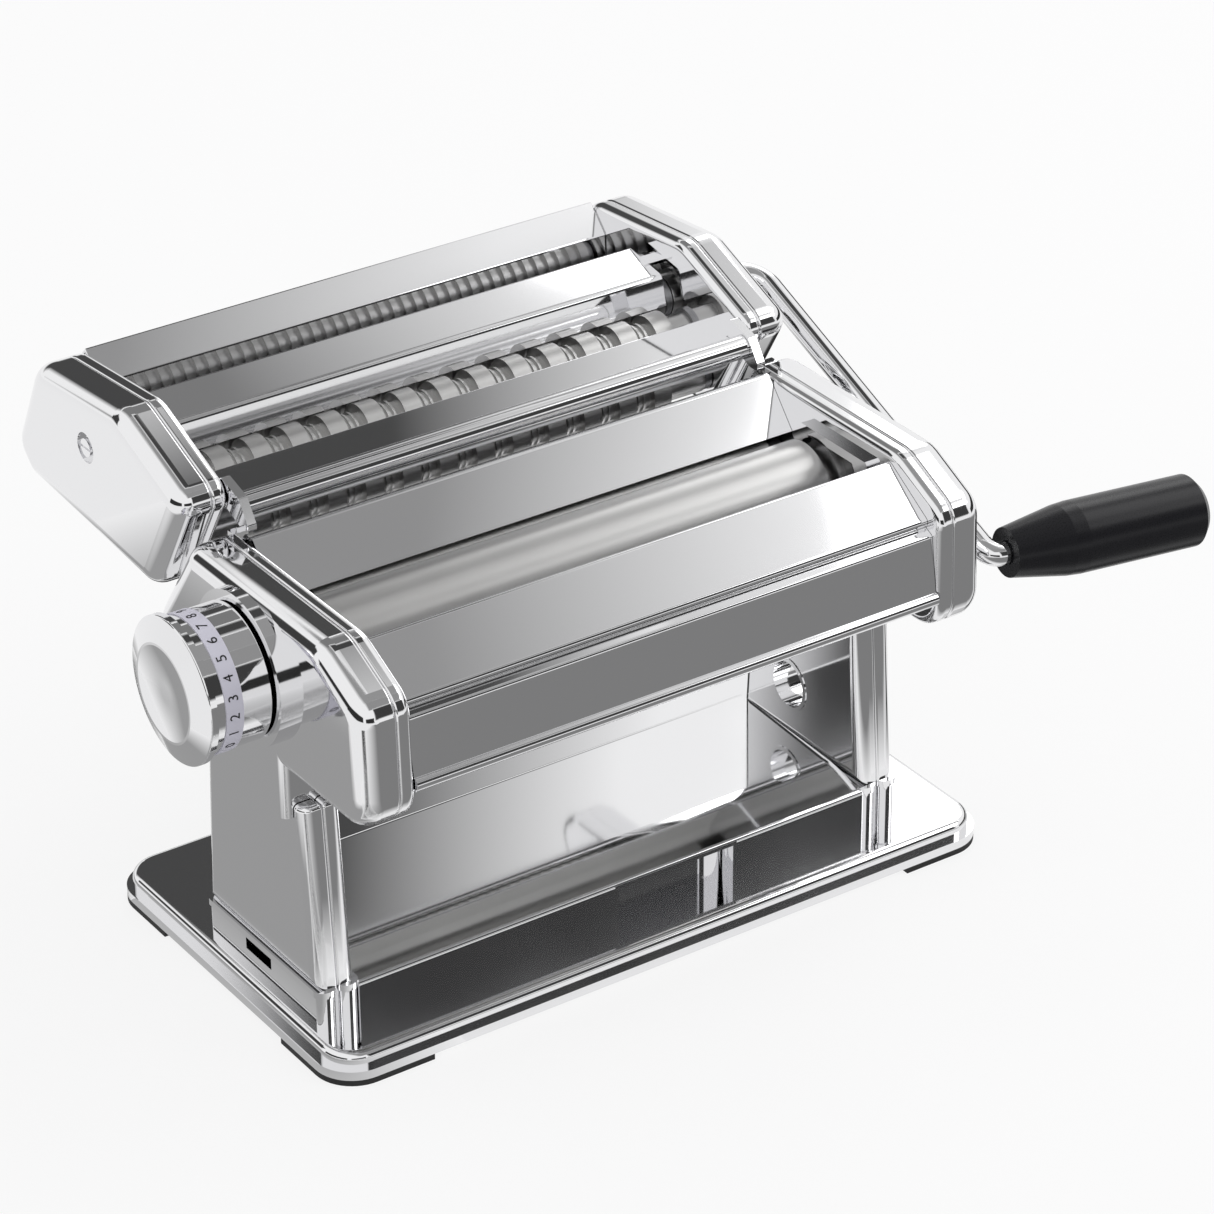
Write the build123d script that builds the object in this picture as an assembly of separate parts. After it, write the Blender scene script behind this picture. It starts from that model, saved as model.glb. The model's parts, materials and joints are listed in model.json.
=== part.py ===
from build123d import *
import math
import os

# A hand-cranked pasta machine. Millimetres, +Z up, -Y towards the user, +X towards the crank.
# The origin is on the table, below the middle of the rollers.

# Shared sizes
ROLLER_LENGTH = 180.0
ROLLER_PLAY = 5.0
SHEET = 1.4
THIN = 1.0
PLATE = 1.5
PLATE_DEPTH = 5.6
CAP_DEPTH = 12.2
CAP_EDGE_R = 6.5
PLATE_EDGE_R = 3.0
RUN_FIT = 0.05
SEAT = 0.02
FREE = 0.4
HALF = ROLLER_LENGTH / 2
PLATE_FACE_X = HALF + ROLLER_PLAY
SEAM_X = PLATE_FACE_X + PLATE_DEPTH
CAP_FACE_X = SEAM_X + CAP_DEPTH

# Where the uprights and toes stand along X
UPRIGHT_IN = 0.5
INNER_SHELL = 6.7
OUTER_SHELL = 7.3
TOE_LAP = 0.4
UPRIGHT_INNER_X = PLATE_FACE_X + UPRIGHT_IN
UPRIGHT_SEAM_X = UPRIGHT_INNER_X + INNER_SHELL
UPRIGHT_FACE_X = UPRIGHT_SEAM_X + OUTER_SHELL
TOE_INNER_X = PLATE_FACE_X - TOE_LAP
TOE_OUTER_X = UPRIGHT_FACE_X + TOE_LAP

# Base and pedestal
BASE_LEFT = 3.5
BASE_RIGHT = 21.3
BASE_LENGTH = 2 * TOE_OUTER_X + BASE_LEFT + BASE_RIGHT
BASE_DEPTH = 135.4
BASE_X = (BASE_RIGHT - BASE_LEFT) / 2
BASE_Y = 12.1
BASE_TOP_Z = 10.0
BASE_CORNER_R = 11.5
BASE_EDGE_R = 2.6
BEAD_OUT = 2.0
BEAD_TOP_Z = 5.0
FOOT_T = 2.0
FOOT_REACH = 34.0
FOOT_WIDTH = 9.0
PEDESTAL_FRONT_Y = -37.2
PEDESTAL_BACK_Y = 30.5
CHUTE_BACK_Z = 26.0
CHUTE_BEND_Y = -21.0
CHUTE_BEND_Z = 24.6
CHUTE_LIP_Z = 22.0
CHUTE_LAP = 0.4
CHUTE_END_X = PLATE_FACE_X + CHUTE_LAP
TOE_FRONT_Y = -38.6
TOE_BACK_Y = 30.0
TOE_EDGE_R = 3.4
TOE_TOP_Z = 23.4
TOE_GROOVE = 0.5
LEDGE_Z = 21.2
LEDGE_IN = 0.6
DENT_X = 22.0
DENT_WIDTH = 44.0
DENT_DEPTH = 9.0
DENT_TOP_Z = 20.5
SLOT_Y = -1.5
SLOT_LENGTH = 15.0
SLOT_Z = 18.4
SLOT_HEIGHT = 4.0

# Uprights
UPRIGHT_TOP_Z = 81.0
UPRIGHT_FRONT_FOOT_Y = -36.8
UPRIGHT_BACK_FOOT_Y = 29.0
UPRIGHT_FRONT_TOP_Y = -32.4
UPRIGHT_BACK_TOP_Y = 25.0
HORN_TOP_Z = 85.5
HORN_TOP_R = 1.8
HORN_BACK_Y = -27.9
UPRIGHT_EDGE_R = 4.2
SEAM_R = 0.9
CLAMP_HOLE_R = 8.0
CLAMP_Y = 2.7
CLAMP_Z = 43.2
COLLAR_WALL = 1.4

# Head outline, seen from the side
HEAD_TOP_Z = 150.7
HEAD_BACK_TOP_Y = 24.0
HEAD_FRONT_TOP_Y = -50.0
HEAD_SLOPE_Y = -73.5
HEAD_SLOPE_Z = 139.5
HEAD_FRONT_Y = -75.0
HEAD_FLOOR_Z = 97.0
HEAD_BACK_Y = 49.0
HEAD_BACK_Z = 115.0
TONGUE_FRONT_Y = -27.6
TONGUE_BACK_Y = 25.5
TONGUE_LAP = 25.0
TONGUE_EDGE_R = 2.8

# Dough rollers
ROLLER_R = 14.5
ROLLER_WALL = 2.0
KNOB_Y = -11.5
KNOB_Z = 126.8
THROW = 1.8
GAP_MID = 2.4
REAR_SINK = 1.0
LINE_TILT = -8.0
KNOB_STEP = 16.0
SETTINGS = 10
REST_SETTING = 5
AXLE_R = 6.0
AXLE_END_R = 3.7
AXLE_KNOB_R = 8.2
BUSH_WALL = 2.0
BUSH_LENGTH = 14.0
HUB_R = 10.0
STUB_R = 5.0
GEAR_GAP = 2.6
GEAR_X0 = PLATE_FACE_X + GEAR_GAP
GEAR_WIDTH = 4.4
GEAR_TEETH = 10
GEAR_TIP_R = 17.0
GEAR_ROOT_R = 12.0
GEAR_TIP_W = 1.5
GEAR_ROOT_W = 3.6
SOCKET_FLATS = 6.5
SOCKET_DEPTH = 18.0
SOCKET_HOLE_R = 6.0
SOCKET_SINK = 3.2
SOCKET_END_X = CAP_FACE_X - SOCKET_SINK

# Thickness knob
COLLAR_R = 24.5
COLLAR_T = 3.8
COLLAR_X = -CAP_FACE_X - COLLAR_T
KNOB_GAP = 0.7
KNOB_DEPTH = 21.7
KNOB_BACK_X = COLLAR_X - KNOB_GAP
KNOB_FACE_X = KNOB_BACK_X - KNOB_DEPTH
KNOB_FACE_R = 23.2
KNOB_FLANGE = 3.0
KNOB_FACE_EDGE_R = 0.6
KNOB_RISE = 2.8
KNOB_TOP_R = 15.7
KNOB_BARREL_R = 21.5
KNOB_DISH_R = 14.9
KNOB_DISH = 0.8
KNOB_FLAT_R = 3.0
KNOB_FLOOR = 2.6
KNOB_WALL = 2.6
KNOB_WEB_SINK = 5.5
KNOB_WEB_X = KNOB_BACK_X - KNOB_WEB_SINK
KNOB_WEB = 3.0
RING_IN = 5.8
RING_X0 = KNOB_FACE_X + RING_IN
RING_WIDTH = 5.8
RING_PROUD = 0.3
RING_SEAT = 0.8
PULL = 5.0
KEY_FLATS = 9.0
KEY_SINK = 7.5
KEY_END_X = KNOB_FACE_X + KEY_SINK
KEY_SCREW_R = 7.5
KEY_SCREW = 2.0
SPRING_R = 8.8
SPRING_WALL = 1.6
SPRING_LENGTH = 3.0
PIN_R = 1.2
PIN_CIRCLE_R = 14.5
PIN_SINK = 1.7
PIN_TIP_X = COLLAR_X + PIN_SINK
TRACK_DEPTH = 2.2

# Covers of the head
COVER_PLAY = 0.1
COVER_END_X = PLATE_FACE_X - COVER_PLAY
COVER_TOP_Y = -48.0
COVER_TOP_Z = 146.9
COVER_RIDGE_Y = -67.6
COVER_RIDGE_Z = 134.6
COVER_LOW_Y = -72.6
COVER_LOW_Z = 110.0
COVER_ROLL_R = 2.2
HOPPER_LOW_Y = 2.5
HOPPER_LOW_Z = 136.2
HOPPER_TOP_Y = 15.5
HOPPER_TOP_Z = 151.3
HOPPER_BACK_Y = 20.5
HOPPER_BACK_Z = 148.4
PANEL_LOW_Y = 43.0
PANEL_LOW_Z = 113.5
GUIDE_T = 2.6
GUIDE_X = PLATE_FACE_X - GUIDE_T
GUIDE_TOP_Z = 143.6
GUIDE_LOW_Z = 140.6
GUIDE_FRONT_Y = -40.0
GUIDE_BACK_Y = -5.0
TIE_R = 4.0
TIE_STUD_R = 2.5
NUT_FLATS = 8.0
NUT_T = 2.4
TIES = ((-54.0, 116.0), (34.4, 104.8), (-38.0, 105.0))

# Cutter head
CUT_R = 8.3
CUT_SPACING = 15.6
CUT_PLAY = 1.6
CUT_HALF = PLATE_FACE_X - CUT_PLAY
CUT_SHAFT_R = 4.0
CUT_STUB_R = 5.4
DRIVE_Y = 76.4
DRIVE_Z = 154.4
FINE_TURN = -3.0
PAIR_SPACING = 17.1
WIDE_TURN = 195.0
WIDE_LOW_TURN = 242.0
FINE_PITCH = 4.3
FINE_RING = 1.9
FINE_COUNT = 2 * int((CUT_HALF - FINE_RING) / FINE_PITCH) + 1
FINE_ROOT_R = 6.9
WIDE_ROOT_R = 5.5
WIDE_PITCH = 13.6
WIDE_BLOCK = 6.5
WIDE_COUNT = 2 * int((CUT_HALF - WIDE_BLOCK) / WIDE_PITCH) + 1
CUT_GEAR_TEETH = 13
CUT_GEAR_WIDTH = 2.0
CUT_GEAR_TIP_R = 8.75
CUT_GEAR_ROOT_R = 6.4
CUT_GEAR_TIP_W = 0.9
CUT_GEAR_ROOT_W = 1.9
CUT_BUSH_R = 5.2
CUT_STUB_BUSH_R = 6.8
CUT_TOP_BACK = (117.0, 174.0)
CUT_TOP_FRONT = (64.0, 178.5)
CUT_NOSE = (24.5, 163.0)
CUT_TOE = (47.0, 124.5)
CUT_HEEL = (124.0, 130.5)
CUT_BACK = (134.0, 140.0)
CUT_TAB = 3.5
CUT_PLATE_END_X = PLATE_FACE_X - CUT_TAB
SCREW_Y = 84.0
SCREW_Z = 158.0
SCREW_HEAD_R = 3.0
SCREW_R = 1.5
POST_R = 2.7
DIMPLE_R = 5.0
DIMPLE = 1.6
RAIL_Y = 25.0
RAIL_Z = 158.0
RAIL_R = 3.8
HOOK_T = 3.0
HOOK_PLAY = 0.1
RAIL_END_X = PLATE_FACE_X - HOOK_T - HOOK_PLAY
CUT_TIES = ((113.0, 142.0), (42.5, 146.0), (100.0, 138.0))

# Crank
ROD_R = 4.0
ARM_OUT = 21.2
ARM_X = CAP_FACE_X + ARM_OUT
ARM_LENGTH = 137.4
ARM_TURN = 202.1
BEND_R = 10.0
SPLAY = 6.5
SPINDLE_R = 3.0
GRIP_START = 6.0
GRIP_LENGTH = 72.0
GRIP_NECK_R = 8.2
GRIP_CONE = 20.0
GRIP_BELLY_R = 12.0
GRIP_CHAMFER = 2.5
GRIP_CAP_R = 5.0
GRIP_CAP = 1.6
HEX_FLATS = 6.4


def polar(y, z, r, degrees):
    a = math.radians(degrees)
    return (y + r * math.cos(a), z + r * math.sin(a))


# The front roller sits off the knob axis; the rear roller lies across the gap from it.
FRONT_TURN = LINE_TILT - KNOB_STEP * (SETTINGS - 1) / 2
FRONT_Y, FRONT_Z = polar(KNOB_Y, KNOB_Z, THROW, FRONT_TURN)
LINE_END = polar(KNOB_Y, KNOB_Z, 2 * ROLLER_R + GAP_MID, LINE_TILT)
REAR_Y, REAR_Z = polar(*LINE_END, REAR_SINK, LINE_TILT - 90)
DRIVE = (DRIVE_Y, DRIVE_Z)
FINE = polar(*DRIVE, CUT_SPACING, FINE_TURN)
WIDE = polar(*DRIVE, PAIR_SPACING, WIDE_TURN)
WIDE_LOW = polar(*WIDE, CUT_SPACING, WIDE_LOW_TURN)

parts = {}


def along_x(face, x0, x1):
    """A side-view face carried from x0 to x1."""
    return extrude(Plane.YZ.offset(x0) * face, amount=x1 - x0)


def outline(points, radius):
    return make_face(FilletPolyline(*points, radius=radius, close=True))


def polygon(points):
    return make_face(Polyline(*points, close=True))


def rod(y, z, r, x0, x1):
    return along_x(Pos(y, z) * Circle(r), x0, x1)


def tube(y, z, r, bore, x0, x1):
    return along_x(Pos(y, z) * (Circle(r) - Circle(bore)), x0, x1)


def hexagon(y, z, flats, x0, x1):
    return along_x(Pos(y, z) * RegularPolygon(flats / 2, 6, major_radius=False), x0, x1)


def block(x0, x1, y0, y1, z0, z1):
    return Pos((x0 + x1) / 2, (y0 + y1) / 2, (z0 + z1) / 2) * Box(x1 - x0, y1 - y0, z1 - z0)


def bent_sheet(points, radius, thickness, x0, x1):
    """Sheet metal folded along X, drawn by its middle line in the side view."""
    return along_x(trace(FilletPolyline(*points, radius=radius), line_width=thickness), x0, x1)


def turned(profile, y, z):
    """A solid of revolution about an X axis; the profile holds (x, radius) pairs."""
    return Pos(0, y, z) * revolve(make_face(Polyline(*profile, close=True)), Axis.X)


def rim(solid, x):
    return solid.edges().filter_by_position(Axis.X, x - 0.001, x + 0.001)


def mirrored(solid):
    return mirror(solid, about=Plane.YZ)


def gear(y, z, teeth, tip_r, root_r, tip_w, root_w, phase, bore, x0, x1):
    """A gear with straight-sided teeth; a tooth points at the phase angle."""
    points = []
    for i in range(teeth):
        middle = math.radians(phase + 360.0 * i / teeth)
        half_root = math.asin(root_w / 2 / root_r)
        half_tip = math.asin(tip_w / 2 / tip_r)
        for r, turn in ((root_r, -half_root), (tip_r, -half_tip), (tip_r, half_tip), (root_r, half_root)):
            points.append((r * math.cos(middle + turn), r * math.sin(middle + turn)))
    return along_x(Pos(y, z) * (polygon(points) - Circle(bore)), x0, x1)


# Base plate: a pressed tray, open below, with a bead round its foot
wall_plan = RectangleRounded(BASE_LENGTH, BASE_DEPTH, BASE_CORNER_R)
bead_plan = RectangleRounded(BASE_LENGTH + 2 * BEAD_OUT, BASE_DEPTH + 2 * BEAD_OUT, BASE_CORNER_R + BEAD_OUT)
inner_plan = RectangleRounded(BASE_LENGTH - 2 * SHEET, BASE_DEPTH - 2 * SHEET, BASE_CORNER_R - SHEET)
tray = extrude(Pos(0, 0, FOOT_T) * wall_plan, amount=BASE_TOP_Z - FOOT_T)
tray = fillet(tray.edges().filter_by_position(Axis.Z, BASE_TOP_Z - 0.001, BASE_TOP_Z + 0.001), BASE_EDGE_R)
tray += extrude(Pos(0, 0, FOOT_T) * bead_plan, amount=BEAD_TOP_Z - FOOT_T)
hollow = extrude(Pos(0, 0, FOOT_T) * inner_plan, amount=BASE_TOP_Z - SHEET - FOOT_T)
hollow = fillet(hollow.edges().group_by(Axis.Z)[-1], BASE_EDGE_R - SHEET)
parts["base_plate"] = Pos(BASE_X, BASE_Y) * (tray - hollow)

ring_plan = bead_plan - RectangleRounded(BASE_LENGTH + 2 * BEAD_OUT - 2 * FOOT_WIDTH,
                                         BASE_DEPTH + 2 * BEAD_OUT - 2 * FOOT_WIDTH,
                                         BASE_CORNER_R + BEAD_OUT - FOOT_WIDTH)
feet = []
for sx in (-1, 1):
    for sy in (-1, 1):
        corner = Pos(sx * (BASE_LENGTH / 2 + BEAD_OUT - FOOT_REACH / 2),
                     sy * (BASE_DEPTH / 2 + BEAD_OUT - FOOT_REACH / 2)) * Rectangle(FOOT_REACH, FOOT_REACH)
        feet.append(Pos(BASE_X, BASE_Y) * extrude(ring_plan & corner, amount=FOOT_T))
parts["rubber_feet"] = feet

# Pedestal: the chute floor folded down to the base, with a toe under each upright
floor_points = ((PEDESTAL_BACK_Y, BASE_TOP_Z), (PEDESTAL_BACK_Y, CHUTE_BACK_Z), (CHUTE_BEND_Y, CHUTE_BEND_Z),
                (PEDESTAL_FRONT_Y, CHUTE_LIP_Z), (PEDESTAL_FRONT_Y, BASE_TOP_Z))
floor_skin = bent_sheet(floor_points, (2.5, 40.0, 0.9), SHEET, -CHUTE_END_X, CHUTE_END_X)
floor_skin -= block(-200, 200, -200, 200, BASE_TOP_Z - 50, BASE_TOP_Z)


def toe_column(x0, x1, grow, z0, z1):
    column = block(x0 - grow, x1 + grow, TOE_FRONT_Y - grow, TOE_BACK_Y + grow, z0, z1)
    return fillet(column.edges().filter_by(Axis.Z), TOE_EDGE_R + grow)


toe_groove_x = UPRIGHT_SEAM_X
toe = block(TOE_INNER_X + 2, TOE_OUTER_X - 2, TOE_FRONT_Y + 4, TOE_BACK_Y - 4, BASE_TOP_Z, TOE_TOP_Z)
for x0, x1 in ((TOE_INNER_X, toe_groove_x - TOE_GROOVE / 2), (toe_groove_x + TOE_GROOVE / 2, TOE_OUTER_X)):
    toe += toe_column(x0, x1, -LEDGE_IN, BASE_TOP_Z, TOE_TOP_Z)
    toe += toe_column(x0, x1, 0, LEDGE_Z, TOE_TOP_Z)
toe_hollow = block(TOE_INNER_X + 3, TOE_OUTER_X - 3, TOE_FRONT_Y + 6, TOE_BACK_Y - 6, BASE_TOP_Z, TOE_TOP_Z - SHEET)
toe -= toe_hollow
pedestal = floor_skin + toe + mirrored(toe)
dent = block(DENT_X - DENT_WIDTH / 2, DENT_X + DENT_WIDTH / 2, PEDESTAL_FRONT_Y - 5,
             PEDESTAL_FRONT_Y + DENT_DEPTH, BASE_TOP_Z, DENT_TOP_Z)
dent = fillet(dent.edges().filter_by(Axis.Z).group_by(Axis.Y)[-1], DENT_DEPTH * 0.7)
cup = block(DENT_X - DENT_WIDTH / 2 - SHEET, DENT_X + DENT_WIDTH / 2 + SHEET, PEDESTAL_FRONT_Y - SHEET / 2,
            PEDESTAL_FRONT_Y + DENT_DEPTH + SHEET, BASE_TOP_Z, DENT_TOP_Z + SHEET)
cup = fillet(cup.edges().filter_by(Axis.Z).group_by(Axis.Y)[-1], DENT_DEPTH * 0.7 + SHEET)
pedestal = pedestal + cup - dent
pedestal -= block(-TOE_OUTER_X - 1, -TOE_OUTER_X + 4, SLOT_Y - SLOT_LENGTH / 2, SLOT_Y + SLOT_LENGTH / 2,
                  SLOT_Z - SLOT_HEIGHT / 2, SLOT_Z + SLOT_HEIGHT / 2)
parts["pedestal"] = pedestal

# Uprights: two facing shells each, with a horn that runs up in front of the head's tongue
horn_points = ((UPRIGHT_FRONT_FOOT_Y, TOE_TOP_Z), (UPRIGHT_FRONT_TOP_Y, HORN_TOP_Z), (HORN_BACK_Y, HORN_TOP_Z),
               (HORN_BACK_Y, TOE_TOP_Z))
web_points = ((HORN_BACK_Y - 1.5, TOE_TOP_Z), (HORN_BACK_Y - 1.5, UPRIGHT_TOP_Z),
              (UPRIGHT_BACK_TOP_Y, UPRIGHT_TOP_Z), (UPRIGHT_BACK_FOOT_Y, TOE_TOP_Z))


def rolled(solid, x, end, r):
    """Round the foot edge of the face at x, and its front (end 0) or back (end -1) edge."""
    edges = rim(solid, x)
    return fillet([edges.sort_by(Axis.Y)[end], edges.sort_by(Axis.Z)[0]], r)


def upright_shell(x_seam, x_face):
    horn = along_x(polygon(horn_points), x_seam, x_face)
    horn = rolled(horn, x_face, 0, UPRIGHT_EDGE_R)
    horn = fillet(rim(horn, x_seam).sort_by(Axis.Y)[0], SEAM_R)
    horn = fillet(horn.edges().group_by(Axis.Z)[-1].sort_by(Axis.Y)[:-1], HORN_TOP_R)
    web = along_x(polygon(web_points), x_seam, x_face)
    web = rolled(web, x_face, -1, UPRIGHT_EDGE_R)
    web = fillet(rim(web, x_seam).sort_by(Axis.Y)[-1], SEAM_R)
    inside = x_face + SHEET if x_face < x_seam else x_face - SHEET
    horn_gap = along_x(offset(polygon(horn_points), -SHEET, kind=Kind.INTERSECTION), x_seam, inside)
    web_gap = along_x(offset(polygon(web_points), -SHEET, kind=Kind.INTERSECTION), x_seam, inside)
    horn_gap = rolled(horn_gap, inside, 0, UPRIGHT_EDGE_R - SHEET)
    web_gap = rolled(web_gap, inside, -1, UPRIGHT_EDGE_R - SHEET)
    return horn + web - horn_gap - web_gap


inner_shell = upright_shell(UPRIGHT_SEAM_X, UPRIGHT_INNER_X)
outer_shell = upright_shell(UPRIGHT_SEAM_X, UPRIGHT_FACE_X)
clamp_bore = rod(CLAMP_Y, CLAMP_Z, CLAMP_HOLE_R + COLLAR_WALL + SEAT, UPRIGHT_INNER_X - 1, UPRIGHT_FACE_X + 1)
parts["left_upright_inner"] = mirrored(inner_shell)
parts["left_upright_outer"] = mirrored(outer_shell)
parts["right_upright_inner"] = inner_shell - clamp_bore
parts["right_upright_outer"] = outer_shell - clamp_bore
parts["clamp_collar"] = tube(CLAMP_Y, CLAMP_Z, CLAMP_HOLE_R + COLLAR_WALL, CLAMP_HOLE_R,
                             UPRIGHT_INNER_X - 0.3, UPRIGHT_FACE_X + 0.3)

# Head housings: a dish over a tongue, drawn once for the side plates and once for the caps
dish_points = ((HEAD_BACK_TOP_Y, HEAD_TOP_Z), (HEAD_FRONT_TOP_Y, HEAD_TOP_Z), (HEAD_SLOPE_Y, HEAD_SLOPE_Z),
               (HEAD_FRONT_Y, HEAD_FLOOR_Z), (TONGUE_BACK_Y + 11, HEAD_FLOOR_Z), (HEAD_BACK_Y, HEAD_BACK_Z))
dish_radii = (6.6, 14.0, 10.0, 12.0, 6.6, 14.0)
lean = (HEAD_BACK_Y - TONGUE_BACK_Y) / (HEAD_BACK_Z - UPRIGHT_TOP_Z)
tongue_points = ((TONGUE_FRONT_Y, UPRIGHT_TOP_Z), (TONGUE_BACK_Y, UPRIGHT_TOP_Z),
                 (TONGUE_BACK_Y + lean * TONGUE_LAP, UPRIGHT_TOP_Z + TONGUE_LAP),
                 (TONGUE_FRONT_Y, UPRIGHT_TOP_Z + TONGUE_LAP))


def pan(points, radii, x_open, x_face, edge_r, wall):
    """A pressed pan: the filled outer form and the hollow to take out of it."""
    face = outline(points, radii)
    solid = along_x(face, x_open, x_face)
    solid = fillet(rim(solid, x_face), edge_r)
    solid = fillet(rim(solid, x_open), SEAM_R)
    inside = x_face + wall if x_face < x_open else x_face - wall
    gap = along_x(offset(face, -wall), x_open, inside)
    if edge_r > wall + 0.2:
        gap = fillet(rim(gap, inside), edge_r - wall)
    return solid, gap


def head_housing(x_face, edge_r, wall):
    solid, gap = pan(dish_points, dish_radii, SEAM_X, x_face, edge_r, wall)
    tongue = along_x(polygon(tongue_points), SEAM_X, x_face)
    tongue = fillet(rim(tongue, x_face).sort_by(Axis.Y)[-1], edge_r)
    tongue = fillet(rim(tongue, x_face).sort_by(Axis.Y)[0], TONGUE_EDGE_R)
    inside = x_face + wall if x_face < SEAM_X else x_face - wall
    tongue_gap = along_x(offset(polygon(tongue_points), -wall, kind=Kind.INTERSECTION), SEAM_X, inside)
    return solid + tongue - gap - tongue_gap


plate_pan = head_housing(PLATE_FACE_X, PLATE_EDGE_R, PLATE)
cap_dish = head_housing(CAP_FACE_X, CAP_EDGE_R, SHEET)
for y, z in TIES:
    plate_pan -= rod(y, z, TIE_STUD_R + SEAT, PLATE_FACE_X - 1, SEAM_X)
axle_bush_r = AXLE_KNOB_R + RUN_FIT + BUSH_WALL
end_bush_r = AXLE_END_R + RUN_FIT + BUSH_WALL
stub_bush_r = STUB_R + RUN_FIT + BUSH_WALL
left_plate = mirrored(plate_pan)
left_plate -= rod(KNOB_Y, KNOB_Z, axle_bush_r + SEAT, -SEAM_X, -PLATE_FACE_X + 1)
left_plate -= rod(REAR_Y, REAR_Z, stub_bush_r + SEAT, -SEAM_X, -PLATE_FACE_X + 1)
right_plate = plate_pan - rod(KNOB_Y, KNOB_Z, HUB_R + THROW + FREE, PLATE_FACE_X - 1, SEAM_X)
right_plate -= rod(REAR_Y, REAR_Z, stub_bush_r + SEAT, PLATE_FACE_X - 1, SEAM_X)
left_cap = mirrored(cap_dish) - rod(KNOB_Y, KNOB_Z, AXLE_KNOB_R + FREE, -CAP_FACE_X - 1, -SEAM_X)
right_cap = cap_dish - rod(KNOB_Y, KNOB_Z, end_bush_r + SEAT, SEAM_X, CAP_FACE_X + 1)
right_cap -= rod(REAR_Y, REAR_Z, SOCKET_HOLE_R, SEAM_X, CAP_FACE_X + 1)
parts["left_side_plate"] = left_plate
parts["right_side_plate"] = right_plate
parts["left_cap"] = left_cap
parts["right_cap"] = right_cap

# Sheets between the side plates
cover_points = ((COVER_TOP_Y + 4, COVER_TOP_Z - 5), (COVER_TOP_Y, COVER_TOP_Z), (COVER_RIDGE_Y, COVER_RIDGE_Z),
                (COVER_RIDGE_Y + 1.5, COVER_RIDGE_Z - 2.5), (COVER_RIDGE_Y - 2.0, COVER_RIDGE_Z - 4.0),
                (COVER_LOW_Y, COVER_LOW_Z))
cover = bent_sheet(cover_points, (1.2, 1.2, 0.9, 0.9), THIN, -COVER_END_X, COVER_END_X)
cover += rod(COVER_LOW_Y, COVER_LOW_Z, COVER_ROLL_R, -COVER_END_X, COVER_END_X)
parts["front_cover"] = cover
hopper_points = ((HOPPER_LOW_Y, HOPPER_LOW_Z), (HOPPER_TOP_Y, HOPPER_TOP_Z), (HOPPER_BACK_Y, HOPPER_BACK_Z),
                 (PANEL_LOW_Y, PANEL_LOW_Z))
parts["hopper_plate"] = bent_sheet(hopper_points, (1.2, 2.5), THIN, -COVER_END_X, COVER_END_X)
guide = block(GUIDE_X, PLATE_FACE_X, GUIDE_FRONT_Y, GUIDE_BACK_Y, GUIDE_LOW_Z, GUIDE_TOP_Z)
guide = fillet(guide.edges().filter_by(Axis.X), 1.2)
parts["left_dough_guide"] = mirrored(guide)
parts["right_dough_guide"] = guide
front_tip = polar(KNOB_Y, KNOB_Z, ROLLER_R + THROW + 1.4, 255)
rear_tip = polar(REAR_Y, REAR_Z, ROLLER_R + 1.2, 285)
front_bends = (front_tip, (front_tip[0] - 4, front_tip[1] - 6), (front_tip[0] - 14, front_tip[1] - 9))
rear_bends = (rear_tip, (rear_tip[0] + 1, rear_tip[1] - 4), (rear_tip[0] - 1, rear_tip[1] - 14))
parts["front_scraper"] = bent_sheet(front_bends, 2.0, THIN, -PLATE_FACE_X, PLATE_FACE_X)
parts["rear_scraper"] = bent_sheet(rear_bends, 1.5, THIN, -PLATE_FACE_X, PLATE_FACE_X)
rods = []
nuts = []
for y, z in TIES:
    tie = rod(y, z, TIE_R, -PLATE_FACE_X, PLATE_FACE_X)
    tie += rod(y, z, TIE_STUD_R, -SEAM_X + 0.6, SEAM_X - 0.6)
    rods.append(tie)
    for sign in (-1, 1):
        x0 = sign * (PLATE_FACE_X + PLATE)
        nut = hexagon(y, z, NUT_FLATS, x0, x0 + sign * NUT_T)
        nuts.append(nut - rod(y, z, TIE_STUD_R + SEAT, -SEAM_X, SEAM_X))
parts["tie_rods"] = rods
parts["tie_nuts"] = nuts

# Rear roller, driven through the hex socket in its right stub
rear = rod(REAR_Y, REAR_Z, ROLLER_R, -HALF, HALF) + rod(REAR_Y, REAR_Z, STUB_R, -SEAM_X + 1, SOCKET_END_X)
rear -= hexagon(REAR_Y, REAR_Z, SOCKET_FLATS, SOCKET_END_X - SOCKET_DEPTH, SOCKET_END_X)
parts["rear_roller"] = rear
rear_bush = tube(REAR_Y, REAR_Z, stub_bush_r, STUB_R + RUN_FIT, HALF + FREE, PLATE_FACE_X + PLATE + 0.6)
parts["rear_roller_bushes"] = [rear_bush, mirrored(rear_bush)]
mesh_turn = math.degrees(math.atan2(REAR_Z - FRONT_Z, REAR_Y - FRONT_Y))
parts["front_roller_gear"] = gear(FRONT_Y, FRONT_Z, GEAR_TEETH, GEAR_TIP_R, GEAR_ROOT_R, GEAR_TIP_W, GEAR_ROOT_W,
                                  mesh_turn, HUB_R + SEAT, GEAR_X0, GEAR_X0 + GEAR_WIDTH)
parts["rear_roller_gear"] = gear(REAR_Y, REAR_Z, GEAR_TEETH, GEAR_TIP_R, GEAR_ROOT_R, GEAR_TIP_W, GEAR_ROOT_W,
                                 mesh_turn + 180 + 180.0 / GEAR_TEETH, STUB_R + SEAT, GEAR_X0, GEAR_X0 + GEAR_WIDTH)

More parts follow.
